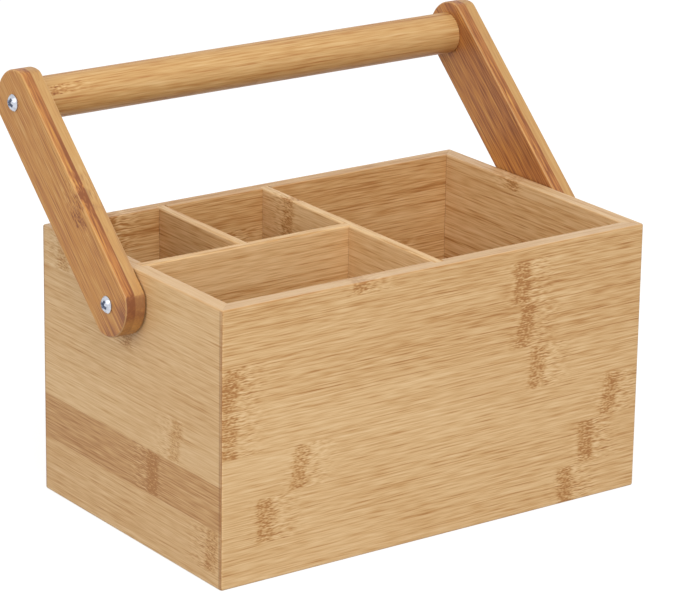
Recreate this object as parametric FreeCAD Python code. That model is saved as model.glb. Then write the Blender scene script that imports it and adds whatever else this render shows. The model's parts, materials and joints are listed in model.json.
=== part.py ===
import FreeCAD, Part
import math
import os

# Open desk caddy of laminated bamboo, with four compartments and a carry handle that swings front to back.
# The origin is the middle of the underside. X runs left to right, Y front to back and Z up, in millimetres.

# Box
box_width = 235.0
box_depth = 150.0
box_height = 130.0
wall_thickness = 8.0
corner_round = 1.5
rim_round = 1.0
inner_rim_round = 0.7

# Base panel, let into a rebate along the foot of all four walls
base_thickness = 5.0
base_rebate_depth = 4.0
base_side_clearance = 0.1

# Dividers, placed by the clear size of the compartments beside them
divider_thickness = 5.0
divider_edge_round = 0.8
pen_bay_width = 51.0
middle_bay_width = 53.5
front_bay_depth = 63.5
divider_housing_depth = 1.5
housing_side_clearance = 0.1

# Handle
arm_width = 31.0
arm_thickness = 10.5
arm_reach = 109.0
arm_end_reach = 14.7
arm_end_rise = 9.4
arm_corner_round = 5.5
arm_edge_round = 0.9
bar_diameter = 20.0
bar_end_chamfer = 0.5
pivot_below_rim = 16.0
handle_lean_degrees = 47.0

# Screws, with the same domed head at the pivots and at the ends of the bar
screw_diameter = 4.0
screw_tip_chamfer = 0.6
head_diameter = 8.0
head_height = 2.6
head_rim_height = 0.6
bar_screw_length = 30.0
bar_bore_spare = 2.0

# Pivot: a brass insert in the wall, then a washer, then the arm, which turns on the screw
insert_diameter = 6.0
insert_length = 4.5
insert_backing = 0.5
washer_diameter = 12.0
washer_thickness = 0.6

# Clearances, and the one overrun of every cut
running_clearance = 0.05
seat_clearance = 0.05
cut_overrun = 1.0

# The box in plan, and how far the dividers are housed in its walls
half_width = box_width / 2
half_depth = box_depth / 2
inner_half_width = half_width - wall_thickness
inner_half_depth = half_depth - wall_thickness
wall_housing_depth = wall_thickness - insert_length - insert_backing
housed_half_width = inner_half_width + wall_housing_depth
housed_half_depth = inner_half_depth + wall_housing_depth

# The dividers' places
short_divider_left = -inner_half_width + pen_bay_width
long_divider_left = short_divider_left + divider_thickness + middle_bay_width
cross_divider_front = -inner_half_depth + front_bay_depth
cross_divider_back = cross_divider_front + divider_thickness

# The handle's places, with the handle upright
pivot_z = box_height - pivot_below_rim
bar_z = pivot_z + arm_reach
arm_inner_x = half_width + washer_thickness + running_clearance
arm_outer_x = arm_inner_x + arm_thickness
pivot_head_x = arm_outer_x + running_clearance
insert_end_x = half_width - insert_length
screw_radius = screw_diameter / 2

x_axis = FreeCAD.Vector(1, 0, 0)
z_axis = FreeCAD.Vector(0, 0, 1)


def block(x_range, y_range, z_range):
    """A box between two places on each axis."""
    lows, highs = zip(x_range, y_range, z_range)
    size = [high - low for low, high in zip(lows, highs)]
    return Part.makeBox(*size, FreeCAD.Vector(*lows))


def rod(radius, x_range, z):
    """A round rod that lies along X at one height, over the middle of the depth."""
    return Part.makeCylinder(radius, x_range[1] - x_range[0], FreeCAD.Vector(x_range[0], 0, z), x_axis)


def widened(span, by):
    """A span that reaches further by the same amount at both ends."""
    return (span[0] - by, span[1] + by)


def mirrored(shape):
    """The same shape on the other side of the box."""
    return shape.mirror(FreeCAD.Vector(0, 0, 0), x_axis)


def leaning(shape):
    """A shape of the upright handle, turned back about the pivots to its rest."""
    return shape.rotated(FreeCAD.Vector(0, 0, pivot_z), x_axis, -handle_lean_degrees)


def flat_edges(shape, height, half_x, half_y):
    """The edges that lie flat at one height, no further out than a rectangle about Z."""
    slack = corner_round / 100
    found = []
    for edge in shape.Edges:
        box = edge.BoundBox
        level = max(abs(box.ZMin - height), abs(box.ZMax - height)) < slack
        inside_x = max(abs(box.XMin), abs(box.XMax)) < half_x + slack
        inside_y = max(abs(box.YMin), abs(box.YMax)) < half_y + slack
        if level and inside_x and inside_y:
            found.append(edge)
    return found


def upright_edges(shape):
    """The straight edges that run along Z."""
    straight = [edge for edge in shape.Edges if isinstance(edge.Curve, Part.Line)]
    return [edge for edge in straight if abs(edge.Curve.Direction.z) > 0.5]


def divider_board(x_span, y_span):
    """A board from the base panel to the rim, with the two long edges of its top eased."""
    board = block(x_span, y_span, (base_thickness, box_height))
    length = max(x_span[1] - x_span[0], y_span[1] - y_span[0])
    top_edges = flat_edges(board, box_height, half_width, half_depth)
    long_edges = [edge for edge in top_edges if edge.Length > length / 2]
    return board.makeFillet(divider_edge_round, long_edges)


def housing(x_span, y_span):
    """The groove for a divider's end, stopped at the base panel and open at the rim."""
    return block(x_span, y_span, (base_thickness, box_height + cut_overrun))


def wall_ring():
    """All four walls in one ring: eased, rebated for the base, housed for the dividers, bored for the inserts."""
    ring = block((-half_width, half_width), (-half_depth, half_depth), (0, box_height))
    ring = ring.makeFillet(corner_round, upright_edges(ring))
    outline = [edge for z in (0, box_height) for edge in flat_edges(ring, z, half_width, half_depth)]
    ring = ring.makeFillet(rim_round, outline)
    through = (-cut_overrun, box_height + cut_overrun)
    ring = ring.cut(block((-inner_half_width, inner_half_width), (-inner_half_depth, inner_half_depth), through))
    ring = ring.makeFillet(inner_rim_round, flat_edges(ring, box_height, inner_half_width, inner_half_depth))
    rebate_x = inner_half_width + base_rebate_depth
    rebate_y = inner_half_depth + base_rebate_depth
    ring = ring.cut(block((-rebate_x, rebate_x), (-rebate_y, rebate_y), (-cut_overrun, base_thickness)))
    for groove in (long_housing, cross_housing, short_housing):
        ring = ring.cut(groove)
    bore = rod(insert_diameter / 2 + seat_clearance, (insert_end_x, half_width + cut_overrun), pivot_z)
    return ring.cut(bore).cut(mirrored(bore))


def mitred_walls():
    """The ring parted at its corners into front, right, back and left walls, whose ends meet at 45 degrees."""
    ring = wall_ring()
    signs = ((-1, -1), (1, -1), (1, 1), (-1, 1))
    outside = [(x * (half_width + cut_overrun), y * (half_depth + cut_overrun)) for x, y in signs]
    inset = wall_thickness + cut_overrun
    inside = [(x * (half_width - inset), y * (half_depth - inset)) for x, y in signs]
    walls = []
    for here in range(len(signs)):
        following = (here + 1) % len(signs)
        corners = (outside[here], outside[following], inside[following], inside[here], outside[here])
        wedge = Part.Face(Part.makePolygon([FreeCAD.Vector(x, y, -cut_overrun) for x, y in corners]))
        walls.append(ring.common(wedge.extrude(z_axis * (box_height + 2 * cut_overrun))))
    return walls


def base_panel():
    """The panel that closes the box, flush with the foot of the walls."""
    half_x = inner_half_width + base_rebate_depth - base_side_clearance
    half_y = inner_half_depth + base_rebate_depth - base_side_clearance
    return block((-half_x, half_x), (-half_y, half_y), (0, base_thickness))


def handle_arm():
    """The right arm: a flat bar with bowed ends, eased all round, bored for the pivot and for the bar's screw."""
    side = arm_width / 2
    corner_reach = arm_end_reach - arm_end_rise
    top, top_corner = bar_z + arm_end_reach, bar_z + corner_reach
    foot, foot_corner = pivot_z - arm_end_reach, pivot_z - corner_reach

    def at(y, z):
        return FreeCAD.Vector(arm_inner_x, y, z)

    outline = Part.Wire([
        Part.LineSegment(at(-side, foot_corner), at(-side, top_corner)).toShape(),
        Part.Arc(at(-side, top_corner), at(0, top), at(side, top_corner)).toShape(),
        Part.LineSegment(at(side, top_corner), at(side, foot_corner)).toShape(),
        Part.Arc(at(side, foot_corner), at(0, foot), at(-side, foot_corner)).toShape(),
    ])
    arm = Part.Face(outline).extrude(x_axis * arm_thickness)
    corner_edges = [edge for edge in arm.Edges if edge.BoundBox.XLength > arm_thickness / 2]
    arm = arm.makeFillet(arm_corner_round, corner_edges)
    face_edges = [edge for edge in arm.Edges if edge.BoundBox.XLength < arm_thickness / 2]
    arm = arm.makeFillet(arm_edge_round, face_edges)
    through = widened((arm_inner_x, arm_outer_x), cut_overrun)
    for z, clearance in ((pivot_z, running_clearance), (bar_z, seat_clearance)):
        arm = arm.cut(rod(screw_radius + clearance, through, z))
    return arm


def handle_bar():
    """The round bar between the arms, with a pilot bore in each end for its screw."""
    bar = rod(bar_diameter / 2, (-arm_inner_x, arm_inner_x), bar_z)
    end_circles = [edge for edge in bar.Edges if isinstance(edge.Curve, Part.Circle)]
    bar = bar.makeChamfer(bar_end_chamfer, end_circles)
    bore_end = arm_outer_x - bar_screw_length - bar_bore_spare
    bore = rod(screw_radius + seat_clearance, (bore_end, arm_inner_x + cut_overrun), bar_z)
    return bar.cut(bore).cut(mirrored(bore))


def domed_screw(head_x, tip_x, z):
    """A right-hand screw: a plain shank with a chamfered tip under a head with a short rim and a domed top."""
    head_radius = head_diameter / 2
    dome_height = head_height - head_rim_height
    dome_radius = (head_radius ** 2 + dome_height ** 2) / (2 * dome_height)
    dome_centre = head_x + head_height - dome_radius
    halfway = math.asin(head_radius / dome_radius) / 2

    def at(x, radius):
        return FreeCAD.Vector(x, 0, z + radius)

    rim_edge = at(head_x + head_rim_height, head_radius)
    dome_middle = at(dome_centre + dome_radius * math.cos(halfway), dome_radius * math.sin(halfway))
    dome_top = at(head_x + head_height, 0)
    side = Part.makePolygon([
        dome_top,
        at(tip_x, 0),
        at(tip_x, screw_radius - screw_tip_chamfer),
        at(tip_x + screw_tip_chamfer, screw_radius),
        at(head_x, screw_radius),
        at(head_x, head_radius),
        rim_edge,
    ])
    dome = Part.Arc(rim_edge, dome_middle, dome_top).toShape()
    profile = Part.Face(Part.Wire(side.Edges + [dome]))
    return profile.revolve(dome_top, x_axis, 360)


def ring_on_screw(diameter, x_range):
    """A washer or an insert round the right pivot screw."""
    outer = rod(diameter / 2, x_range, pivot_z)
    return outer.cut(rod(screw_radius + seat_clearance, widened(x_range, cut_overrun), pivot_z))


def pair(shape):
    """Both of a fastener, right and left."""
    return Part.makeCompound([shape, mirrored(shape)])


# Each divider's span, and the groove that it stands in, a little wider than the board
long_x = (long_divider_left, long_divider_left + divider_thickness)
long_y = (-housed_half_depth, housed_half_depth)
long_housing = housing(widened(long_x, housing_side_clearance), long_y)

cross_x = (-housed_half_width, long_divider_left + divider_housing_depth)
cross_y = (cross_divider_front, cross_divider_back)
cross_housing = housing(cross_x, widened(cross_y, housing_side_clearance))

short_x = (short_divider_left, short_divider_left + divider_thickness)
short_y = (cross_divider_back - divider_housing_depth, housed_half_depth)
short_housing = housing(widened(short_x, housing_side_clearance), short_y)

front_wall, right_wall, back_wall, left_wall = mitred_walls()
arm = leaning(handle_arm())
bar_screw = leaning(domed_screw(arm_outer_x, arm_outer_x - bar_screw_length, bar_z))
pivot_screw = domed_screw(pivot_head_x, insert_end_x + screw_tip_chamfer, pivot_z)

nodes = {
    "front_wall": front_wall,
    "right_wall": right_wall,
    "back_wall": back_wall,
    "left_wall": left_wall,
    "base_panel": base_panel(),
    "long_divider": divider_board(long_x, long_y).cut(cross_housing),
    "cross_divider": divider_board(cross_x, cross_y).cut(short_housing),
    "short_divider": divider_board(short_x, short_y),
    "left_handle_arm": mirrored(arm),
    "right_handle_arm": arm,
    "handle_bar": leaning(handle_bar()),
    "bar_screws": pair(bar_screw),
    "pivot_screws": pair(pivot_screw),
    "pivot_washers": pair(ring_on_screw(washer_diameter, (half_width, half_width + washer_thickness))),
    "pivot_inserts": pair(ring_on_screw(insert_diameter, (insert_end_x, half_width))),
}

os.makedirs("parts", exist_ok=True)
for name, shape in nodes.items():
    shape.exportStep(f"parts/{name}.step")
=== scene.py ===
"""Looks of an open bamboo desk caddy with a swinging carry handle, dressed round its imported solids.

The boards keep their solids and get bamboo finishes, worked out from the strips that each board is
laminated of. The screws are made here by geometry nodes, with domed heads, cross recesses and
threads.
"""

import json
import math
from dataclasses import dataclass

import bpy
from bpy.props import FloatProperty, FloatVectorProperty, IntProperty, PointerProperty
from mathutils import Matrix, Vector


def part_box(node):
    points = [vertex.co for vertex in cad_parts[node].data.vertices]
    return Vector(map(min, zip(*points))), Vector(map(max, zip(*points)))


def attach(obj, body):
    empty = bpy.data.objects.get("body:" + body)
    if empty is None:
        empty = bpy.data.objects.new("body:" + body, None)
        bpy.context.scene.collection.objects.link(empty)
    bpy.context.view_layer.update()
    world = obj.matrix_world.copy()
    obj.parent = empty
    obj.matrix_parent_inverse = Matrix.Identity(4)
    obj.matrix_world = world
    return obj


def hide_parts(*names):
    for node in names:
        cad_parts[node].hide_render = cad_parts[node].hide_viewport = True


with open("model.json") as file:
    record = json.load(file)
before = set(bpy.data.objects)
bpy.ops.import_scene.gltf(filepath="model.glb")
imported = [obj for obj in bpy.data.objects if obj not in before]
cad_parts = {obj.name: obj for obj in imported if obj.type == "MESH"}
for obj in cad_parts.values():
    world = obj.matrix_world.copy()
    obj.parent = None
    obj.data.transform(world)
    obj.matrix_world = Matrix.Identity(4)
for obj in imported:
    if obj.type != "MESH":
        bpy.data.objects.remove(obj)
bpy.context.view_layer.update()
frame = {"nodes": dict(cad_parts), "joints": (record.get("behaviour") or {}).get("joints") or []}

bl_info = {
    "name": "Bamboo desk caddy",
    "version": (1, 0, 0),
    "blender": (4, 5, 0),
    "location": "View3D > Sidebar > Caddy",
    "description": "Dresses a bamboo desk caddy with a carry handle",
    "category": "Add Mesh",
}

MM = 0.001
PHOTO_WIDTH = 680
SENSOR_WIDTH = 36.0


def paint(red, green, blue):
    """A colour given as it looks on a screen, from 0 to 255, as Blender's linear colour."""

    def linear(level):
        part = level / 255
        return part / 12.92 if part <= 0.04045 else ((part + 0.055) / 1.055) ** 2.4

    return (linear(red), linear(green), linear(blue))


def colour(name, description, *levels):
    return FloatVectorProperty(
        name=name, description=description, default=paint(*levels), subtype="COLOR", size=3,
        min=0.0, max=1.0,
    )


def length(name, description, default):
    return FloatProperty(
        name=name, description=description, default=default, min=0.0, unit="LENGTH", precision=5
    )


def share(name, description, default):
    return FloatProperty(
        name=name, description=description, default=default, min=0.0, max=1.0, subtype="FACTOR"
    )


def power(name, description, default):
    return FloatProperty(
        name=name, description=description, default=default, min=0.0, unit="POWER"
    )


def rotation(name, description, degrees):
    return FloatProperty(
        name=name, description=description, default=math.radians(degrees), unit="ROTATION"
    )


class BambooSizes:
    """Sizes that every sort of bamboo has."""

    knuckle_width: length("Knuckle width", "Width of the band of a node of the cane", 8 * MM)
    ripple_reach: length("Ripple reach", "How far from a knuckle the fibres ripple", 21 * MM)
    roughness: share("Roughness", "Roughness of the lacquer", 0.5)
    relief: length("Relief", "Height of the fibres' relief", 0.06 * MM)


class CaddyBoardSettings(BambooSizes, bpy.types.PropertyGroup):
    """Pale bamboo of the box's boards."""

    strip_width: length("Strip width", "Width of a strip on the face of a board", 21.2 * MM)
    ply: length("Ply", "Thickness of one layer of strips", 10 * MM)
    contrast: share("Contrast", "Contrast of the fibres", 1.0)
    knuckle_depth: share("Knuckle depth", "How much darker the knuckles are", 0.32)
    pale: colour("Pale", "The palest wood, between the fibres", 232, 198, 150)
    light: colour("Light", "Lighter wood", 223, 185, 134)
    tan: colour("Tan", "The usual wood", 213, 172, 119)
    brown: colour("Brown", "Browner wood and the weaker fibres", 199, 152, 96)
    dark: colour("Dark", "The dark fibres and the knuckles' specks", 170, 116, 62)
    # The colour of the walls' up-facing rims, greyer and duller than their faces
    rim_tint: colour("Sanded", "The sanded rims of the walls", 206, 176, 141)
    # The glue colour also paints the shade beside each mitre, on the rounded upright arris
    glue: colour("Glue", "The glue line along a mitre", 138, 90, 54)


class CaddyArmSettings(BambooSizes, bpy.types.PropertyGroup):
    """Darker bamboo of the handle's arms."""

    strip_width: length("Strip width", "Width of a strip on the face of an arm", 3.875 * MM)
    ply: length("Ply", "Thickness of one layer of strips", 5.25 * MM)
    end_reach: length("End reach", "How far an arm reaches beyond its pivot", 14.7 * MM)
    contrast: share("Contrast", "Contrast of the fibres", 0.85)
    knuckle_depth: share("Knuckle depth", "How much darker the knuckles are", 0.24)
    # Wear and painted highlight: how far the arms' arrises turn to the palest wood
    arris_wear_and_highlight: share("Arris wear", "How far the arrises are worn to the palest wood", 0.42)
    end_share: share("End grain share", "How far end grain hides the strips' colours", 0.8)
    pale: colour("Pale", "The palest wood, between the fibres", 222, 178, 116)
    light: colour("Light", "Lighter wood", 209, 157, 89)
    tan: colour("Tan", "The usual wood", 199, 138, 66)
    brown: colour("Brown", "Browner wood and the weaker fibres", 180, 117, 61)
    dark: colour("Dark", "The dark fibres and the knuckles' specks", 138, 80, 41)
    sapwood: colour("Sapwood", "Greyer wood of the second ply on the edge", 187, 154, 104)
    end_grain: colour("End grain", "The sawn ends of the strips", 134, 82, 54)


class CaddyBarSettings(BambooSizes, bpy.types.PropertyGroup):
    """Golden bamboo of the handle's bar."""

    strip_width: length("Strip width", "Width of a strip in the blank of the bar", 5 * MM)
    ply: length("Ply", "Thickness of one layer of strips", 7 * MM)
    contrast: share("Contrast", "Contrast of the fibres", 0.7)
    knuckle_depth: share("Knuckle depth", "How much darker the knuckles are", 0.2)
    pale: colour("Pale", "The palest wood, between the fibres", 222, 186, 132)
    light: colour("Light", "Lighter wood", 208, 165, 106)
    tan: colour("Tan", "The usual wood", 195, 147, 88)
    brown: colour("Brown", "Browner wood and the weaker fibres", 180, 124, 68)
    dark: colour("Dark", "The dark fibres and the knuckles' specks", 142, 86, 44)


class CaddyScrewSettings(bpy.types.PropertyGroup):
    """Sizes and colours of the screws and of what the pivots hold."""

    shank_diameter: length("Shank diameter", "Diameter over the thread", 4 * MM)
    rim_height: length("Rim height", "Height of the head's upright rim, below its dome", 0.6 * MM)
    bar_screw_length: length("Bar screw length", "Length of a bar screw's shank", 30 * MM)
    bar_thread_length: length("Bar thread length", "Length of a bar screw's thread", 20 * MM)
    pivot_depth: length("Pivot depth", "How far a pivot screw reaches into its wall", 3.9 * MM)
    clearance: length("Clearance", "Gap between a pivot screw's head and the arm", 0.05 * MM)
    recess_span: length("Recess span", "Width of the cross recess over both arms", 5.6 * MM)
    recess_width: length("Recess width", "Width of one arm of the cross recess", 1.7 * MM)
    recess_depth: length("Recess depth", "Depth of the recess below the dome's top", 1.9 * MM)
    thread_pitch: length("Thread pitch", "Distance from one turn to the next", 0.7 * MM)
    thread_depth: length("Thread depth", "Height of the thread above its core", 0.35 * MM)
    turn_seed: IntProperty(
        name="Turn seed", description="Seed for how far each screw is turned", default=4, min=0
    )
    zinc: colour("Zinc", "Bright zinc plating", 204, 208, 218)
    # Painted shade: the plating in the cross recess is given a darker colour than the zinc, for the
    # shade down in the recess
    recess: colour("Recess", "The dull plating down in the recess", 176, 182, 196)
    brass: colour("Brass", "The inserts", 208, 172, 104)
    roughness: share("Roughness", "Roughness of the plating", 0.26)


class CaddyStageSettings(bpy.types.PropertyGroup):
    """The floor, the light and the camera."""

    floor: colour("Floor", "The floor's colour", 246, 246, 246)
    floor_reach: length("Floor reach", "How far the floor reaches each way", 6.0)
    sky_strength: share("Sky strength", "Light from all round", 0.68)
    key_strength: power("Key strength", "Power of the large front lamp", 21.7)
    key_size: length("Key size", "Side of the front lamp", 1.3)
    fill_strength: power("Fill strength", "Power of the left lamp", 6.5)
    fill_size: length("Fill size", "Side of the left lamp", 1.0)
    camera_place: FloatVectorProperty(
        name="Camera place", description="Where the camera stands", subtype="XYZ", unit="LENGTH",
        default=(-0.9115, -1.2710, 0.6121),
    )
    camera_azimuth: rotation("Camera azimuth", "Way round from the front", -35.59)
    camera_elevation: rotation("Camera elevation", "How far it looks down", 18.30)
    camera_roll: rotation("Camera roll", "Turn about its line of sight", 0.858)
    focal_pixels: FloatProperty(
        name="Focal length", description="Focal length in pixels of a picture 680 wide",
        default=3540.8, min=1.0, subtype="PIXEL",
    )


class CaddySettings(bpy.types.PropertyGroup):
    """All settings of the caddy."""

    box: PointerProperty(type=CaddyBoardSettings, name="Box bamboo")
    arm: PointerProperty(type=CaddyArmSettings, name="Arm bamboo")
    bar: PointerProperty(type=CaddyBarSettings, name="Bar bamboo")
    screws: PointerProperty(type=CaddyScrewSettings, name="Screws")
    stage: PointerProperty(type=CaddyStageSettings, name="Stage")


class Field:
    """A socket in a node tree that takes part in sums as a number would.

    Each sum adds its Math node.
    """

    def __init__(self, nodes, socket):
        self.nodes = nodes
        self.socket = socket

    def maths(self, operation, first, second=0.0):
        return self.nodes.add("ShaderNodeMath", {"operation": operation}, {0: first, 1: second})

    def __add__(self, other):
        return self.maths("ADD", self, other)

    def __radd__(self, other):
        return self.maths("ADD", other, self)

    def __sub__(self, other):
        return self.maths("SUBTRACT", self, other)

    def __rsub__(self, other):
        return self.maths("SUBTRACT", other, self)

    def __mul__(self, other):
        return self.maths("MULTIPLY", self, other)

    def __truediv__(self, other):
        return self.maths("DIVIDE", self, other)

    def __pow__(self, other):
        return self.maths("POWER", self, other)

    def __abs__(self):
        return self.maths("ABSOLUTE", self)

    def floor(self):
        return self.maths("FLOOR", self)

    def lower(self, other):
        """The lower of two values."""
        return self.maths("MINIMUM", self, other)

    def above(self, other):
        """1 above the other value, and else 0."""
        return self.maths("GREATER_THAN", self, other)

    def rise(self, low, high):
        """0 below low, 1 above high, and a smooth step between. With high under low it falls."""
        settings = {"interpolation_type": "SMOOTHSTEP"}
        values = {"Value": self, "From Min": low, "From Max": high}
        return self.nodes.add("ShaderNodeMapRange", settings, values)


class Nodes:
    """A node tree to which nodes are added by one method."""

    def __init__(self, tree):
        self.tree = tree

    def add(self, kind, settings=None, values=None, output=0):
        """Adds a node, makes its settings, then fills or links its inputs. Returns one output."""
        node = self.tree.nodes.new(kind)
        for name, setting in (settings or {}).items():
            if name == "stops":
                self.set_stops(node.color_ramp, setting)
            elif name == "ramp_interpolation":
                node.color_ramp.interpolation = setting
            else:
                setattr(node, name, setting)
        for key, value in (values or {}).items():
            for one in value if isinstance(value, list) else [value]:
                self.fill(self.find(node.inputs, key), one)
        return Field(self, self.find(node.outputs, output))

    def find(self, sockets, key):
        """A socket by its place, or the first one in use that has a name."""
        if isinstance(key, int):
            return sockets[key]
        return next(socket for socket in sockets if socket.name == key and socket.enabled)

    def fill(self, socket, value):
        if isinstance(value, Field):
            self.tree.links.new(value.socket, socket)
        else:
            socket.default_value = value

    def set_stops(self, ramp, stops):
        while len(ramp.elements) < len(stops):
            ramp.elements.new(1.0)
        for element, (place, value) in zip(ramp.elements, stops):
            element.position = place
            element.color = (*value, 1.0)

    def vector(self, x, y, z):
        return self.add("ShaderNodeCombineXYZ", None, {0: x, 1: y, 2: z})

    def parts(self, kind, value):
        """The three parts of a vector or a colour."""
        return [self.add(kind, None, {0: value}, output) for output in range(3)]

    def dot(self, vector, direction):
        values = {0: vector, 1: direction}
        return self.add("ShaderNodeVectorMath", {"operation": "DOT_PRODUCT"}, values, "Value")

    def noise(self, place, detail=2.0):
        """Smooth noise about 0.5, whose lumps are about one unit of place apart."""
        values = {"Vector": place, "Scale": 1.0, "Detail": detail, "Roughness": 0.5}
        return self.add("ShaderNodeTexNoise", None, values)

    def mix(self, factor, first, second):
        """From the first colour to the second as the factor goes from 0 to 1."""
        first, second = (
            value if isinstance(value, Field) else (*value[:3], 1.0) for value in (first, second)
        )
        values = {"Factor": factor, "A": first, "B": second}
        return self.add("ShaderNodeMix", {"data_type": "RGBA"}, values, "Result")


class Finish(Nodes):
    """A material. Its shader is made last, from constants and from fields."""

    def __init__(self, name):
        self.material = bpy.data.materials.new(name)
        self.material.use_nodes = True
        self.material.node_tree.nodes.clear()
        super().__init__(self.material.node_tree)
        self.place = self.add("ShaderNodeTexCoord", None, None, "Object")
        self.normal = self.add("ShaderNodeTexCoord", None, None, "Normal")

    def bump(self, height, distance):
        values = {"Height": height, "Distance": distance, "Strength": 1.0}
        return self.add("ShaderNodeBump", None, values)

    def finish(self, values):
        """Joins the shader, with these inputs, to the material's output."""
        shader = self.add("ShaderNodeBsdfPrincipled", None, values)
        self.add_output(shader)
        return self.material

    def add_output(self, shader):
        output = self.tree.nodes.new("ShaderNodeOutputMaterial")
        self.tree.links.new(shader.socket, output.inputs["Surface"])


HAIR = 0.05 * MM
# A knuckle this far along a strip lies off every board
NOWHERE = 9.0
X = Vector((1, 0, 0))
Y = Vector((0, 1, 0))
Z = Vector((0, 0, 1))


@dataclass
class Lay:
    """How a board's strips lie: from a low corner, the ways along, across and through them.

    The corner is a hair outside the board, so that no face lies on a joint. First joint is how far
    across the lowest joint lies. Wander is how far the strips' sides stray, in strips, and drift
    how much darker the wood gets in each metre along. Marked is how strong the fibres and the
    knuckles are.
    """

    corner: Vector
    along: Vector
    across: Vector
    through: Vector
    first_joint: float = 0.0
    wander: float = 0.0
    drift: float = 0.0
    marked: float = 1.0

    def __post_init__(self):
        self.corner = self.corner - (self.along + self.across + self.through) * HAIR


@dataclass
class Strip:
    """One strip: how dark it is, from 0 to 1, and how far along its one or two knuckles lie."""

    tone: float
    knuckles: tuple = ()


def strips_mm(*rows):
    """Strips from rows of a tone and the places of the knuckles in millimetres."""
    return [Strip(tone, tuple(place * MM for place in places)) for tone, *places in rows]


# For each pattern of noise, its lumps in a metre along, across and through the strips, and how
# many times finer lumps are added
PATTERNS = {
    "ragged": (150, 900, 300, 1.0),
    "wave": (200, 220, 150, 1.0),
    "broad": (3, 130, 90, 2.0),
    "streak": (6, 430, 300, 1.0),
    "thread": (19, 1150, 900, 1.0),
    "hair": (100, 1900, 1500, 0.0),
    "dash": (230, 1500, 1100, 1.0),
    "stipple": (650, 1500, 1100, 0.0),
    "end dots": (60, 900, 900, 1.0),
}
# Depths of colour at which the wood is pale, light, tan, brown and dark
TINT_DEPTHS = (0.0, 0.3, 0.5, 0.7, 1.0)
# How far a knuckle's sides stray, how far past it the fibres ripple most, and how far they move
RAGGED_REACH = 5 * MM
RIPPLE_PAST = 5 * MM
WAVE_REACH = 1.3 * MM
# The share of a strip's width over which its joint shows, and over which a knuckle fades there
JOINT_SHARE = 0.012
FADE_SHARE = 0.06


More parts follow.
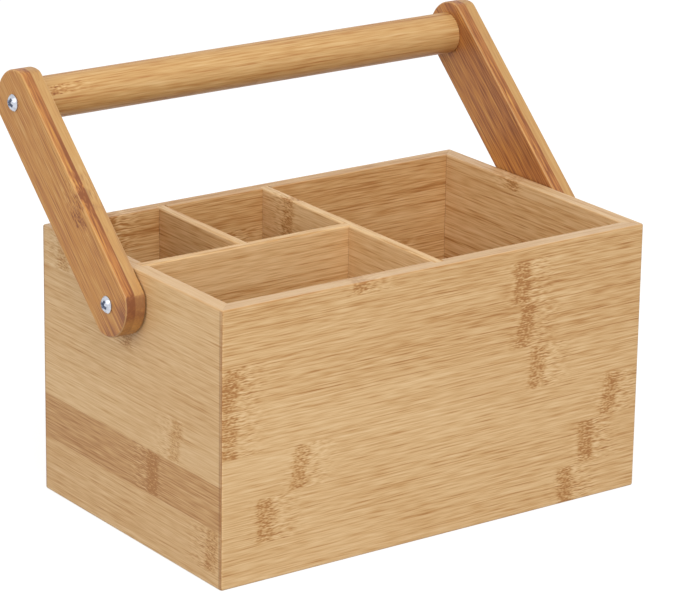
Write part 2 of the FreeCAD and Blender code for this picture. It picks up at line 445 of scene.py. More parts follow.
class Bamboo(Finish):
    """A lacquered bamboo finish, worked out from how the strips of a board lie."""

    def __init__(self, name, settings, lay, strips, seed):
        super().__init__(name)
        self.settings, self.lay, self.seed = settings, lay, seed
        values = {0: self.place, 1: lay.corner}
        offset = self.add("ShaderNodeVectorMath", {"operation": "SUBTRACT"}, values)
        self.along = self.dot(offset, lay.along)
        self.across = self.dot(offset, lay.across)
        self.through = self.dot(offset, lay.through)
        self.find_strip(strips)
        self.find_knuckle()
        self.lay_fibres()

    def pattern(self, name, across, shift=None):
        """Noise about 0 in one of the patterns, drawn out along the strips."""
        lumps_along, lumps_across, lumps_through, detail = PATTERNS[name]
        along = self.along * lumps_along
        if shift is not None:
            along = along + shift
        place = self.vector(along, across * lumps_across, self.through * lumps_through)
        return self.noise(place, detail) - 0.5

    def find_strip(self, strips):
        """Finds which strip a point lies on, and how far it is to the joint beside it."""
        settings, lay = self.settings, self.lay
        strip_place = (self.across - lay.first_joint) / settings.strip_width
        if lay.wander:
            stray = self.noise(self.vector(self.along * 17, self.through * 80, self.seed)) - 0.5
            strip_place = strip_place + stray * lay.wander
        index = strip_place.floor()
        self.within = strip_place - index - 0.5
        self.to_joint = 0.5 - abs(self.within)
        self.tone, self.first, self.second = self.look_up(index, strips)
        lot_place = self.vector(index, (self.through / settings.ply).floor(), self.seed)
        lot = self.add("ShaderNodeTexWhiteNoise", None, {"Vector": lot_place}, "Color")
        self.slant, self.shift, self.shade = self.parts("ShaderNodeSeparateColor", lot)

    def look_up(self, index, strips):
        """The tone and the two knuckles of the strip with this index."""
        stops = []
        for number, strip in enumerate(strips):
            first, second = (*strip.knuckles, NOWHERE, NOWHERE)[:2]
            stops.append((number / len(strips), (strip.tone, first, second)))
        settings = {"stops": stops, "ramp_interpolation": "CONSTANT"}
        values = {"Fac": (index + 0.5) / len(strips)}
        table = self.add("ShaderNodeValToRGB", settings, values)
        return self.parts("ShaderNodeSeparateColor", table)

    def to_nearest(self, place):
        """How far a place along the strip is from the nearer of its two knuckles."""
        return abs(place - self.first).lower(abs(place - self.second))

    def find_knuckle(self):
        """Finds the nearest knuckle, a band with ragged sides, and the ripple past it."""
        settings = self.settings
        slanted = self.along + self.within * (self.slant - 0.5) * settings.strip_width * 0.45
        ragged = self.pattern("ragged", self.across) * RAGGED_REACH
        half = settings.knuckle_width / 2
        band = (self.to_nearest(slanted) + ragged).rise(half * 1.5, half * 0.6)
        self.band = band * self.to_joint.rise(0.0, FADE_SHARE)
        self.ripple = self.to_nearest(slanted - RIPPLE_PAST).rise(settings.ripple_reach, 0.0)

    def lay_fibres(self):
        """Lays the patterns of the fibres, which ripple together near a knuckle."""
        shift = self.shift * 3.0
        level = self.across + self.pattern("wave", self.across) * self.ripple * WAVE_REACH
        self.broad = self.pattern("broad", level, shift)
        self.streak = self.pattern("streak", level, shift)
        self.thread = self.pattern("thread", level, shift)
        self.hair = self.pattern("hair", level, shift)
        self.dash = self.pattern("dash", level)
        self.stipple = self.pattern("stipple", self.across)
        cloud_place = self.vector(self.along * 14, self.across * 22, self.through * 30 + self.seed)
        self.cloud = self.noise(cloud_place, 1.0)

    def depth(self):
        """How deep the wood's colour is, from about 0 to 1."""
        settings, lay = self.settings, self.lay
        fibres = self.thread.rise(0.05, 0.3) * 0.15 + self.thread * 0.95 + self.hair * 0.75
        rippled = (fibres + self.ripple * self.dash * 2.1) * (1.0 - self.band * 0.5)
        grain = self.broad * 0.18 + self.streak * 0.32 + rippled
        deep = self.tone + (self.shade - 0.5) * 0.1 + grain * (settings.contrast * lay.marked)
        deep = deep + self.along * lay.drift - 0.03
        speckled = self.dash * 0.8 + self.stipple * 1.1 + settings.knuckle_depth
        joint = self.to_joint.rise(JOINT_SHARE, 0.0) * 0.12
        return deep + self.band * speckled * lay.marked + joint

    def wood(self):
        """The wood's colour."""
        settings = self.settings
        tints = (settings.pale, settings.light, settings.tan, settings.brown, settings.dark)
        stops = {"stops": list(zip(TINT_DEPTHS, tints))}
        wood = self.add("ShaderNodeValToRGB", stops, {"Fac": self.depth()})
        return self.mix(self.cloud.rise(0.45, 0.75) * 0.18, wood, settings.brown)

    def lacquered(self):
        """The finished material."""
        settings = self.settings
        height = self.thread * 0.6 + self.streak * 0.4 + self.band * self.dash * 0.8
        return self.finish({
            "Base Color": self.wood(),
            "Roughness": settings.roughness + self.thread * 0.25 + self.band * 0.08,
            "Normal": self.bump(height, settings.relief),
            "IOR": 1.42,
            "Coat Weight": 0.06,
            "Coat Roughness": 0.3,
        })


# The distances between which the glue line and the painted shade beside the mitre come or go: the
# first three lie across the mitre, and the last is how deep a point is below the two outer faces,
# added up
GLUE_LINE = (0.32 * MM, 0.1 * MM)
ARRIS_SHADE_START = (-2.3 * MM, -1.5 * MM)
ARRIS_SHADE_END = (0.2 * MM, -0.1 * MM)
ARRIS_SHADE_SKIN = (3.4 * MM, 2.8 * MM)


class WallBamboo(Bamboo):
    """The bamboo of a wall, with its greyer rim, the glue lines of its mitres, and painted shade on
    its rounded arrises.

    Rim share is how far the rim's colour shows on the rim.
    """

    def __init__(self, name, settings, lay, strips, seed, rim_share):
        super().__init__(name, settings, lay, strips, seed)
        self.rim_share = rim_share

    def wood(self):
        settings = self.settings
        # Painted shade: the rounded top arrises, which face partly up, are darkened towards the dark
        # wood
        up = self.dot(self.normal, Z)
        painted_arris = up.rise(0.1, 0.35) * up.rise(0.95, 0.7)
        wood = self.mix(painted_arris * 0.3, super().wood(), settings.dark)
        # The up-facing rims take the rim colour, as far as the rim share says
        wood = self.mix(up.rise(0.7, 0.95) * self.rim_share, wood, settings.rim_tint)
        return self.mix(self.glue_line_and_arris_shade(up), wood, settings.glue)

    def glue_line_and_arris_shade(self, up):
        """How far the glue colour shows: as a glue line down each mitre, and as painted shade on the
        side wall's half of the rounded arris beside it, outside.
        """
        x, y, z = self.parts("ShaderNodeSeparateXYZ", self.place)
        inset_x, inset_y = BOX_HIGH.x - abs(x), BOX_HIGH.y - abs(y)
        to_mitre = inset_x - inset_y
        opened = self.noise(self.vector(z * 60, self.seed, 0.0)).rise(0.35, 0.65)
        upright = abs(up).rise(0.7, 0.4)
        line = abs(to_mitre).rise(*GLUE_LINE) * (opened * 0.4 + 0.2) * (upright * 0.7 + 0.3)
        skin = (inset_x + inset_y).rise(*ARRIS_SHADE_SKIN) * upright
        # Painted shade: a darker band on the side wall's half of each rounded upright arris, outside
        arris_shade = to_mitre.rise(*ARRIS_SHADE_START) * to_mitre.rise(*ARRIS_SHADE_END) * skin
        return line + arris_shade * (opened * 0.2 + 0.42)


# Where along an arm the dark of its lower end stops, and where it is full
END_DARK = (14 * MM, 3 * MM)


class ArmBamboo(Bamboo):
    """The bamboo of an arm, of two plies, with sawn ends and arrises that are worn and carry a
    painted highlight.

    The edge tones are how much darker the edge that faces across is: at the start and at the end
    of the first ply, and on the second ply.
    """

    def __init__(self, name, settings, lay, strips, seed, edge_tones):
        super().__init__(name, settings, lay, strips, seed)
        self.edge_tones = edge_tones
        self.second_ply = self.through.rise(settings.ply * 0.92, settings.ply)
        self.edge = self.dot(self.normal, lay.across).rise(0.3, 0.8)

    def depth(self):
        start, close, beyond = self.edge_tones
        gather = self.through.rise(self.settings.ply * 0.25, self.settings.ply * 0.9)
        tones = gather * (close - start) + self.second_ply * (beyond - close) + start
        deep = super().depth() + self.edge * tones
        deep = deep + gather * (1.0 - self.second_ply) * (self.cloud - 0.3) * 0.6
        return deep + self.along.rise(*END_DARK) * (self.streak * 2.0 + 0.35) * 0.7

    def wood(self):
        settings, lay = self.settings, self.lay
        wood = self.mix(self.edge * self.second_ply * 0.5, super().wood(), settings.sapwood)

        # End grain, paler straight across the end
        facing = self.dot(self.normal, lay.along)
        endwise = facing.rise(-0.3, -0.45) + facing.rise(0.1, 0.5) * 0.2
        dotted = self.pattern("end dots", self.across) * 0.5 + 0.85
        paler = self.second_ply * 0.14 + facing.rise(-0.85, -0.99) * 0.6
        end_wood = self.mix(paler, settings.end_grain, settings.light)
        wood = self.mix(endwise * dotted * settings.end_share, wood, end_wood)

        # The arrises are paler: partly worn wood, partly a painted highlight along the rounding
        flatness = abs(self.dot(self.normal, lay.through))
        painted_arris = flatness.rise(0.25, 0.5) * flatness.rise(0.97, 0.85)
        return self.mix(painted_arris * settings.arris_wear_and_highlight, wood, settings.pale)


def metal(name, tint, roughness, scratches):
    """A bare metal with fine scratches, as fine as this along X, Y and Z."""
    made = Finish(name)
    values = {"Vector": made.place, "Scale": scratches}
    scratch = made.noise(made.add("ShaderNodeMapping", None, values))
    values = {"Vector": made.place, "Scale": (500, 500, 500)}
    cloud = made.noise(made.add("ShaderNodeMapping", None, values))
    dark = tuple(level * 0.8 for level in tint)
    return made.finish({
        "Base Color": made.mix(cloud.rise(0.35, 0.65), tint, dark),
        "Roughness": roughness + (scratch - 0.5) * 0.2,
        "Normal": made.bump(scratch, 0.01 * MM),
        "Metallic": 1.0,
    })


def dress(node, material):
    """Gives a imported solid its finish."""
    mesh = frame["nodes"][node].data
    for place in range(len(mesh.materials)):
        mesh.materials[place] = material


BOX_LOW = Vector((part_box("left_wall")[0].x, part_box("front_wall")[0].y, 0))
BOX_HIGH = Vector((
    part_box("right_wall")[1].x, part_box("back_wall")[1].y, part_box("front_wall")[1].z
))
PIVOT = Vector(frame["joints"][0]["pos_m"])
BAR_LOW, BAR_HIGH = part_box("handle_bar")
BAR_MIDDLE = (BAR_LOW + BAR_HIGH) / 2
ARM_WAY = (BAR_MIDDLE - PIVOT).normalized()
ARM_FRONT = X.cross(ARM_WAY)

# Each wall's strips from the foot up, with their knuckles from the left end or the front end
FRONT_STRIPS = strips_mm(
    (0.38, 192.7), (0.36, 23.3, 204.4), (0.37, 41.7, 217.9), (0.43, 4.0, 174.1),
    (0.48, 4.0, 166.7), (0.47, 163.6), (0.53, 73.9),
)
LEFT_STRIPS = strips_mm(
    (0.54,), (0.52, 7.7), (0.82, 55.8), (0.44, 36.8), (0.48,), (0.44, 76.4), (0.37, 132.0)
)
BACK_STRIPS = strips_mm(
    (0.5, 60.0), (0.44, 48.0, 221.0), (0.55, 131.0), (0.45, 122.0), (0.62, 16.0, 190.0),
    (0.56, 96.0), (0.68, 30.0),
)
RIGHT_STRIPS = strips_mm(
    (0.5, 30.0), (0.44, 118.0), (0.48, 110.0), (0.66, 24.0), (0.44, 66.0), (0.5,), (0.45, 90.0)
)
BASE_STRIPS = strips_mm(
    (0.5, 70.0), (0.55, 60.0, 214.0), (0.44, 150.0), (0.5, 139.0), (0.46, 30.0, 196.0),
    (0.6, 110.0), (0.44, 180.0),
)
LONG_DIVIDER_STRIPS = strips_mm(
    (0.5, 30.0), (0.4,), (0.55, 100.0), (0.42, 92.0), (0.4,), (0.38, 116.0)
)
SHORT_DIVIDER_STRIPS = strips_mm(
    (0.44,), (0.5, 40.0), (0.46, 33.0), (0.55,), (0.44, 15.0), (0.46,)
)
CROSS_DIVIDER_STRIPS = strips_mm(
    (0.55,), (0.44, 70.0), (0.5, 61.0), (0.44,), (0.58, 20.0), (0.44,)
)
# The arms' strips from the back edge to the front edge, and the bar's from the pivots' side
LEFT_ARM_STRIPS = strips_mm(
    (0.56,), (0.6,), (0.55,), (0.58,), (0.54,), (0.62, 56.5), (0.57, 54.0), (0.5, 60.5)
)
# The right arm's strips are darker: partly the arm's own redder wood, partly painted shade on its
# inner face
RIGHT_ARM_TONE_AND_SHADE_STRIPS = strips_mm(
    (0.72,), (0.76,), (0.82,), (0.72,), (0.85,), (0.74,), (0.86,), (0.78,)
)
BAR_STRIPS = strips_mm((0.42,), (0.42, 8.3), (0.5,), (0.56,))
# Where the walls' first joints would lie, from the foot of the box up
SHALLOW_JOINT = -3.0 * MM
DEEP_JOINT = -15.2 * MM
# Seeds of the strips' small differences in tone, the first ones of each group of boards
WALL_SEED, BASE_SEED, DIVIDER_SEED, ARM_SEED, BAR_SEED = 0, 11, 21, 31, 41


class CADDY_OT_walls(bpy.types.Operator):
    """Finish the four walls in bamboo whose strips lie level"""

    bl_idname = "caddy.walls"
    bl_label = "Walls"

    def execute(self, context):
        # Node, ways along and through, first joint, strips, share of the rim's colour, drift, marking
        walls = (
            ("front_wall", X, Y, SHALLOW_JOINT, FRONT_STRIPS, 0.55, 0.4, 1.0),
            ("left_wall", Y, X, DEEP_JOINT, LEFT_STRIPS, 0.4, 0.0, 0.75),
            ("back_wall", X, Y, DEEP_JOINT, BACK_STRIPS, 0.15, 0.0, 1.0),
            ("right_wall", Y, X, SHALLOW_JOINT, RIGHT_STRIPS, 0.3, 0.0, 1.0),
        )
        for seed, (node, along, through, joint, strips, *looks) in enumerate(walls, WALL_SEED):
            rim_share, drift, marked = looks
            lay = Lay(BOX_LOW, along, Z, through, joint, drift=drift, marked=marked)
            made = WallBamboo(f"{node}_bamboo", context.scene.caddy.box, lay, strips, seed, rim_share)
            dress(node, made.lacquered())
        return {"FINISHED"}


class CADDY_OT_base_panel(bpy.types.Operator):
    """Finish the base panel in bamboo whose strips run left to right"""

    bl_idname = "caddy.base_panel"
    bl_label = "Base panel"

    def execute(self, context):
        lay = Lay(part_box("base_panel")[0], X, Y, Z)
        settings = context.scene.caddy.box
        made = Bamboo("base_panel_bamboo", settings, lay, BASE_STRIPS, BASE_SEED)
        dress("base_panel", made.lacquered())
        return {"FINISHED"}


class CADDY_OT_dividers(bpy.types.Operator):
    """Finish the three dividers in bamboo whose strips lie level"""

    bl_idname = "caddy.dividers"
    bl_label = "Dividers"

    def execute(self, context):
        dividers = (
            ("long_divider", Y, X, LONG_DIVIDER_STRIPS),
            ("short_divider", Y, X, SHORT_DIVIDER_STRIPS),
            ("cross_divider", X, Y, CROSS_DIVIDER_STRIPS),
        )
        for seed, (node, along, through, strips) in enumerate(dividers, DIVIDER_SEED):
            lay = Lay(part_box(node)[0], along, Z, through)
            made = Bamboo(f"{node}_bamboo", context.scene.caddy.box, lay, strips, seed)
            dress(node, made.lacquered())
        return {"FINISHED"}


class CADDY_OT_handle_arms(bpy.types.Operator):
    """Finish both arms in darker bamboo whose strips run along them"""

    bl_idname = "caddy.handle_arms"
    bl_label = "Handle arms"

    def execute(self, context):
        settings = context.scene.caddy.arm
        arms = (
            ("left_handle_arm", (0.2, 0.33, 0.04), LEFT_ARM_STRIPS),
            ("right_handle_arm", (-0.04, 0.04, -0.2), RIGHT_ARM_TONE_AND_SHADE_STRIPS),
        )
        for seed, (node, edge_tones, strips) in enumerate(arms, ARM_SEED):
            half_width = settings.strip_width * len(strips) / 2
            on_left_face = Vector((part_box(node)[0].x, PIVOT.y, PIVOT.z))
            corner = on_left_face - ARM_WAY * settings.end_reach - ARM_FRONT * half_width
            lay = Lay(corner, ARM_WAY, ARM_FRONT, X, wander=0.9, drift=-0.5)
            made = ArmBamboo(f"{node}_bamboo", settings, lay, strips, seed, edge_tones)
            dress(node, made.lacquered())
        return {"FINISHED"}


class CADDY_OT_handle_bar(bpy.types.Operator):
    """Finish the round bar in golden bamboo, turned from a laminated blank"""

    bl_idname = "caddy.handle_bar"
    bl_label = "Handle bar"

    def execute(self, context):
        radius = (BAR_HIGH.y - BAR_LOW.y) / 2
        end = Vector((BAR_LOW.x, BAR_MIDDLE.y, BAR_MIDDLE.z))
        lay = Lay(end - (ARM_WAY + ARM_FRONT) * radius, X, ARM_WAY, ARM_FRONT, wander=0.8)
        settings = context.scene.caddy.bar
        made = Bamboo("handle_bar_bamboo", settings, lay, BAR_STRIPS, BAR_SEED)
        dress("handle_bar", made.lacquered())
        return {"FINISHED"}


SCREW_INPUTS = (
    "Seat", "Height", "Place back", "Head diameter", "Head height", "Rim height", "Shank diameter",
    "Shank length", "Thread length", "Thread pitch", "Thread depth", "Recess span", "Recess width",
    "Recess depth",
)
HEAD_SIDES = 64
DOME_RINGS = 10
SHANK_SIDES = 32
TURN_STEPS = 16
CREASE_ANGLE = math.radians(28)
# How much wider than halfway the recess's wedges are at their top, and narrower at their bottom
RECESS_FLARE = 0.4


def screw_nodes(name):
    """Geometry nodes of a pair of screws, left and right, whose heads face away from the box."""
    tree = bpy.data.node_groups.new(name, "GeometryNodeTree")
    tree.interface.new_socket("Geometry", in_out="OUTPUT", socket_type="NodeSocketGeometry")
    for label in SCREW_INPUTS:
        tree.interface.new_socket(label, in_out="INPUT", socket_type="NodeSocketFloat")
    tree.interface.new_socket("Turn seed", in_out="INPUT", socket_type="NodeSocketInt")
    for label in ("Finish", "Shaded recess finish"):
        tree.interface.new_socket(label, in_out="INPUT", socket_type="NodeSocketMaterial")
    made = Nodes(tree)
    source = tree.nodes.new("NodeGroupInput")
    given = {socket.name: Field(made, socket) for socket in source.outputs if socket.name}

    def cylinder(vertices, radius, depth, fill=1):
        settings = {"fill_type": "TRIANGLE_FAN"}
        values = {"Vertices": vertices, "Fill Segments": fill, "Radius": radius, "Depth": depth}
        return made.add("GeometryNodeMeshCylinder", settings, values, "Mesh")

    def moved(geometry, place=(0.0, 0.0, 0.0), angles=(0.0, 0.0, 0.0), scale=(1.0, 1.0, 1.0)):
        values = {"Geometry": geometry, "Translation": place, "Rotation": angles, "Scale": scale}
        return made.add("GeometryNodeTransform", None, values)

    def raised(geometry, height):
        return moved(geometry, made.vector(0.0, 0.0, height))

    # Head: a short cylinder whose top is raised into a dome
    head_radius = given["Head diameter"] / 2
    rim = given["Rim height"]
    dome = given["Head height"] - rim
    dome_radius = (head_radius * head_radius + dome * dome) / (dome * 2)
    head = raised(cylinder(HEAD_SIDES, head_radius, rim, DOME_RINGS), rim / 2)
    x, y, z = made.parts("ShaderNodeSeparateXYZ", made.add("GeometryNodeInputPosition"))
    height = (dome_radius * dome_radius - x * x - y * y) ** 0.5 - dome_radius + dome + rim
    position = made.vector(x, y, height)
    values = {"Geometry": head, "Selection": z.above(rim / 2), "Position": position}
    head = made.add("GeometryNodeSetPosition", None, values)

    # Recess: two crossed wedges, each narrower towards the bottom, sunk into the dome
    depth = given["Recess depth"]
    half_diagonal = given["Recess span"] * math.sqrt(0.5)
    values = {
        "Vertices": 4, "Depth": depth * 2,
        "Radius Top": half_diagonal * (1.0 + RECESS_FLARE),
        "Radius Bottom": half_diagonal * (1.0 - RECESS_FLARE),
    }
    wedge = made.add("GeometryNodeMeshCone", {"fill_type": "NGON"}, values, "Mesh")
    sunk = made.vector(0.0, 0.0, given["Head height"] - depth)
    wedge = moved(wedge, sunk, (0.0, 0.0, math.pi / 4))
    # The wedges' faces line the cut recess and get the darker plating, which is painted shade
    values = {"Geometry": wedge, "Material": given["Shaded recess finish"]}
    wedge = made.add("GeometryNodeSetMaterial", None, values)
    slim = made.vector(1.0, given["Recess width"] / given["Recess span"], 1.0)
    arm = moved(wedge, scale=slim)
    wedges = [arm, moved(arm, angles=(0.0, 0.0, math.pi / 2))]
    settings = {"operation": "DIFFERENCE", "solver": "EXACT"}
    values = {"Mesh 1": head, "Mesh 2": wedges}
    head = made.add("GeometryNodeMeshBoolean", settings, values)

    # Shank: a plain core and neck, and a thread that winds up from the tip
    shank_radius, shank_length = given["Shank diameter"] / 2, given["Shank length"]
    core = shank_radius - given["Thread depth"]
    neck_length = shank_length - given["Thread length"]
    neck = raised(cylinder(SHANK_SIDES, shank_radius, neck_length), neck_length / -2)
    core_rod = raised(cylinder(SHANK_SIDES, core, shank_length), shank_length / -2)
    values = {
        "Resolution": TURN_STEPS, "Start Radius": core, "End Radius": core,
        "Rotations": given["Thread length"] / given["Thread pitch"] - 1.0,
        "Height": given["Thread length"] - given["Thread pitch"],
    }
    helix = made.add("GeometryNodeCurveSpiral", None, values)
    helix = raised(helix, given["Thread pitch"] / 2 - shank_length)
    helix = made.add("GeometryNodeSetCurveNormal", {"mode": "Z_UP"}, {"Curve": helix})
    values = {"Resolution": 3, "Radius": given["Thread depth"]}
    ridge = made.add("GeometryNodeCurvePrimitiveCircle", None, values)
    values = {"Curve": helix, "Profile Curve": ridge, "Fill Caps": True}
    thread = made.add("GeometryNodeCurveToMesh", None, values)
    parts = [head, neck, core_rod, thread]
    screw = made.add("GeometryNodeJoinGeometry", None, {"Geometry": parts})

    # Smooth faces with sharp creases
    crease = made.add("GeometryNodeInputMeshEdgeAngle").above(CREASE_ANGLE)
    values = {"Geometry": screw, "Shade Smooth": True}
    screw = made.add("GeometryNodeSetShadeSmooth", None, values)
    values = {"Geometry": screw, "Selection": crease, "Shade Smooth": False}
    screw = made.add("GeometryNodeSetShadeSmooth", {"domain": "EDGE"}, values)

    # One on the left and one on the right, each turned its own way about its axis
    left = made.vector(given["Seat"] * -1, given["Place back"], given["Height"])
    step = made.vector(given["Seat"] * 2, 0.0, 0.0)
    values = {"Count": 2, "Start Location": left, "Offset": step}
    line = made.add("GeometryNodeMeshLine", None, values)
    side = made.add("GeometryNodeInputIndex") * math.pi - math.pi / 2
    outwards = made.add("FunctionNodeEulerToRotation", None, {0: made.vector(0.0, side, 0.0)})
    values = {"Points": line, "Instance": screw, "Rotation": outwards}
    pair = made.add("GeometryNodeInstanceOnPoints", None, values)
    values = {"Max": math.pi / 2, "Seed": given["Turn seed"]}
    spin = made.add("FunctionNodeRandomValue", {"data_type": "FLOAT"}, values, "Value")
    about = made.add("FunctionNodeEulerToRotation", None, {0: made.vector(0.0, 0.0, spin)})
    values = {"Instances": pair, "Rotation": about, "Local Space": True}
    pair = made.add("GeometryNodeRotateInstances", None, values)
    pair = made.add("GeometryNodeRealizeInstances", None, {"Geometry": pair})
    values = {"Material": given["Shaded recess finish"]}
    recessed = made.add("GeometryNodeMaterialSelection", None, values)
    outside = made.add("FunctionNodeBooleanMath", {"operation": "NOT"}, {0: recessed})
    values = {"Geometry": pair, "Selection": outside, "Material": given["Finish"]}
    pair = made.add("GeometryNodeSetMaterial", None, values)
    output = tree.nodes.new("NodeGroupOutput")
    tree.links.new(pair.socket, output.inputs["Geometry"])
    return tree


def run_nodes(name, tree, inputs):
    """The plain mesh that a geometry node tree gives with these inputs, as a new piece."""
    maker = bpy.data.objects.new(f"{name}_maker", bpy.data.meshes.new(f"{name}_seed"))
    bpy.context.scene.collection.objects.link(maker)
    modifier = maker.modifiers.new("maker", "NODES")
    modifier.node_group = tree
    for item in tree.interface.items_tree:
        if item.in_out == "INPUT":
            modifier[item.identifier] = inputs[item.name]
    shown = maker.evaluated_get(bpy.context.evaluated_depsgraph_get())
    mesh = bpy.data.meshes.new_from_object(shown)
    bpy.data.objects.remove(maker)
    mesh.name = name
    piece = bpy.data.objects.new(name, mesh)
    bpy.context.scene.collection.objects.link(piece)
    return piece


def plating(name, tint, roughness):
    """A metal finish, made once and shared."""
    return bpy.data.materials.get(name) or metal(name, tint, roughness, (900, 900, 900))


def screw_pair(name, node, body, seat, place, shank_length, thread_length):
    """Replaces a node's plain screws with detailed ones of the same place and size."""
    settings = bpy.context.scene.caddy.screws
    low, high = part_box(node)
    inputs = {
        "Seat": seat,
        "Height": place.z,
        "Place back": place.y,
        "Head diameter": high.z - low.z,
        "Head height": high.x - seat,
        "Rim height": settings.rim_height,
        "Shank diameter": settings.shank_diameter,
        "Shank length": shank_length,
        "Thread length": thread_length,
        "Thread pitch": settings.thread_pitch,
        "Thread depth": settings.thread_depth,
        "Recess span": settings.recess_span,
        "Recess width": settings.recess_width,
        "Recess depth": settings.recess_depth,
        "Turn seed": settings.turn_seed,
        "Finish": plating("zinc_plating", settings.zinc, settings.roughness),
        "Shaded recess finish": plating("shaded_recess_plating", settings.recess, settings.roughness * 1.6),
    }
    tree = bpy.data.node_groups.get("screw_pair") or screw_nodes("screw_pair")
    piece = run_nodes(name, tree, inputs)
    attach(piece, body)
    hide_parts(node)


class CADDY_OT_bar_screws(bpy.types.Operator):
    """Make the two screws through the arms into the bar"""

    bl_idname = "caddy.bar_screws"
    bl_label = "Bar screws"

    def execute(self, context):
        settings = context.scene.caddy.screws
        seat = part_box("right_handle_arm")[1].x
        lengths = settings.bar_screw_length, settings.bar_thread_length
        screw_pair("bar_cross_screws", "bar_screws", "handle", seat, BAR_MIDDLE, *lengths)
        return {"FINISHED"}


class CADDY_OT_pivot_screws(bpy.types.Operator):
    """Make the two screws that the handle turns on"""

    bl_idname = "caddy.pivot_screws"
    bl_label = "Pivot screws"

    def execute(self, context):
        settings = context.scene.caddy.screws
        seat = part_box("right_handle_arm")[1].x + settings.clearance
        lengths = seat - BOX_HIGH.x + settings.pivot_depth, settings.pivot_depth
        screw_pair("pivot_cross_screws", "pivot_screws", "box", seat, PIVOT, *lengths)
        return {"FINISHED"}


class CADDY_OT_pivot_fittings(bpy.types.Operator):
    """Finish the washers in zinc and the inserts in brass"""

    bl_idname = "caddy.pivot_fittings"
    bl_label = "Pivot washers and inserts"

    def execute(self, context):
        settings = context.scene.caddy.screws
        dress("pivot_washers", plating("zinc_plating", settings.zinc, settings.roughness))
        turned = (300, 2000, 2000)
        brass = metal("insert_brass", settings.brass, settings.roughness, turned)
        dress("pivot_inserts", brass)
        return {"FINISHED"}


def seen_directly(nodes):
    """1 where the camera sees a thing, itself or in metal or glass, and 0 in diffuse light."""
    kinds = ("Is Camera Ray", "Is Glossy Ray", "Is Transmission Ray")
    camera, glossy, through = (nodes.add("ShaderNodeLightPath", None, None, kind) for kind in kinds)
    return (camera + glossy + through).lower(1.0)


def lamp(name, place, aim, size, watts):
    """A square soft lamp that points at a place."""
    data = bpy.data.lights.new(name, "AREA")
    data.size = size
    data.energy = watts
    item = bpy.data.objects.new(name, data)
    turned = (aim - place).to_track_quat("-Z", "Y").to_matrix().to_4x4()
    item.matrix_world = Matrix.Translation(place) @ turned
    bpy.context.scene.collection.objects.link(item)


# How much the floor glows where it is seen, and how much light it throws back there and unseen
FLOOR_GLOW = 0.75
FLOOR_SEEN = 0.4
FLOOR_UNSEEN = 0.45
WHITE = (1.0, 1.0, 1.0, 1.0)


def floor_finish(tint):
    """A floor that looks white and keeps the object's shadow, but throws up little light."""
    made = Finish("stage_floor")

    def matt(level):
        values = {"Color": (*(part * level for part in tint), 1.0)}
        return made.add("ShaderNodeBsdfDiffuse", None, values)

    glow = made.add("ShaderNodeEmission", None, {"Color": WHITE, "Strength": FLOOR_GLOW})
    seen = made.add("ShaderNodeAddShader", None, {0: matt(FLOOR_SEEN), 1: glow})
    values = {0: seen_directly(made), 1: matt(FLOOR_UNSEEN), 2: seen}
    made.add_output(made.add("ShaderNodeMixShader", None, values))
    return made.material


def make_floor(settings):
    """A white floor at the foot of the box."""
    mesh = bpy.data.meshes.new("stage_floor")
    reach = settings.floor_reach
    corners = [(x * reach, y * reach, 0.0) for x, y in ((-1, -1), (1, -1), (1, 1), (-1, 1))]
    mesh.from_pydata(corners, [], [(0, 1, 2, 3)])
    mesh.materials.append(floor_finish(settings.floor))
    floor = bpy.data.objects.new("stage_floor", mesh)
    bpy.context.scene.collection.objects.link(floor)


def make_sky(settings):
    """Even light from all round, which looks white where it is seen."""
    world = bpy.data.worlds.new("studio")
    world.use_nodes = True
    world.node_tree.nodes.clear()
    sky = Nodes(world.node_tree)
    strength = settings.sky_strength + seen_directly(sky) * (1.0 - settings.sky_strength)
    light = sky.add("ShaderNodeBackground", None, {"Color": WHITE, "Strength": strength})
    output = world.node_tree.nodes.new("ShaderNodeOutputWorld")
    world.node_tree.links.new(light.socket, output.inputs["Surface"])
    bpy.context.scene.world = world


def make_camera(settings):
    """A camera that stands and points as the photo's did."""
    data = bpy.data.cameras.new("photo_camera")
    data.sensor_width = SENSOR_WIDTH
    data.lens = settings.focal_pixels * SENSOR_WIDTH / PHOTO_WIDTH
    data.clip_start = 0.05
    data.clip_end = 50.0
    azimuth, elevation = settings.camera_azimuth, settings.camera_elevation
    back = Vector((
        math.sin(azimuth) * math.cos(elevation),
        -math.cos(azimuth) * math.cos(elevation),
        math.sin(elevation),
    ))
    roll = Matrix.Rotation(settings.camera_roll, 3, "Z")
    turned = (-back).to_track_quat("-Z", "Y").to_matrix() @ roll
    camera = bpy.data.objects.new("photo_camera", data)
    camera.matrix_world = Matrix.Translation(settings.camera_place) @ turned.to_4x4()
    bpy.context.scene.collection.objects.link(camera)
    bpy.context.scene.camera = camera


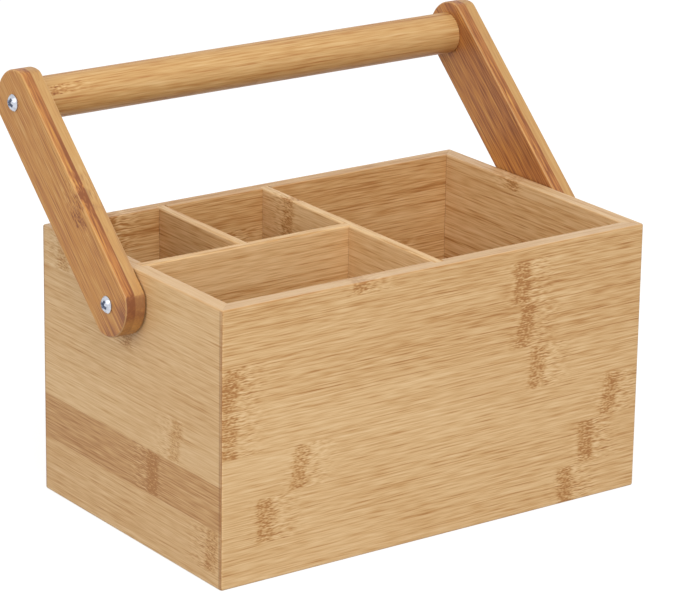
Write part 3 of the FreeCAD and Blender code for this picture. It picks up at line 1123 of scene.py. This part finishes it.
class CADDY_OT_stage(bpy.types.Operator):
    """Make the floor, the light and the camera"""

    bl_idname = "caddy.stage"
    bl_label = "Stage"

    def execute(self, context):
        settings = context.scene.caddy.stage
        make_floor(settings)
        make_sky(settings)
        aim = (BOX_LOW + BOX_HIGH) / 2
        key_place, fill_place = Vector((-0.45, -1.5, 1.5)), Vector((-1.7, -0.3, 0.9))
        lamp("key_lamp", key_place, aim, settings.key_size, settings.key_strength)
        lamp("fill_lamp", fill_place, aim, settings.fill_size, settings.fill_strength)
        make_camera(settings)
        context.scene.view_settings.view_transform = "Standard"
        return {"FINISHED"}


STEPS = (
    "walls", "base_panel", "dividers", "handle_arms", "handle_bar", "bar_screws", "pivot_screws",
    "pivot_fittings", "stage",
)


class CADDY_PT_panel(bpy.types.Panel):
    """Buttons that dress the caddy, and its settings"""

    bl_idname = "CADDY_PT_panel"
    bl_label = "Bamboo desk caddy"
    bl_space_type = "VIEW_3D"
    bl_region_type = "UI"
    bl_category = "Caddy"

    def draw(self, context):
        settings = context.scene.caddy
        for step in STEPS:
            self.layout.operator(f"caddy.{step}")
        for group in (settings.box, settings.arm, settings.bar, settings.screws, settings.stage):
            column = self.layout.column(align=True)
            for name in group.bl_rna.properties.keys():
                if name not in ("rna_type", "name"):
                    column.prop(group, name)


CLASSES = (
    CaddyBoardSettings, CaddyArmSettings, CaddyBarSettings, CaddyScrewSettings,
    CaddyStageSettings, CaddySettings, CADDY_OT_walls, CADDY_OT_base_panel, CADDY_OT_dividers,
    CADDY_OT_handle_arms, CADDY_OT_handle_bar, CADDY_OT_bar_screws, CADDY_OT_pivot_screws,
    CADDY_OT_pivot_fittings, CADDY_OT_stage, CADDY_PT_panel,
)


def register():
    for item in CLASSES:
        bpy.utils.register_class(item)
    bpy.types.Scene.caddy = PointerProperty(type=CaddySettings)


def unregister():
    del bpy.types.Scene.caddy
    for item in reversed(CLASSES):
        bpy.utils.unregister_class(item)


def main():
    register()
    for step in STEPS:
        getattr(bpy.ops.caddy, step)()


if __name__ == "__main__":
    main()
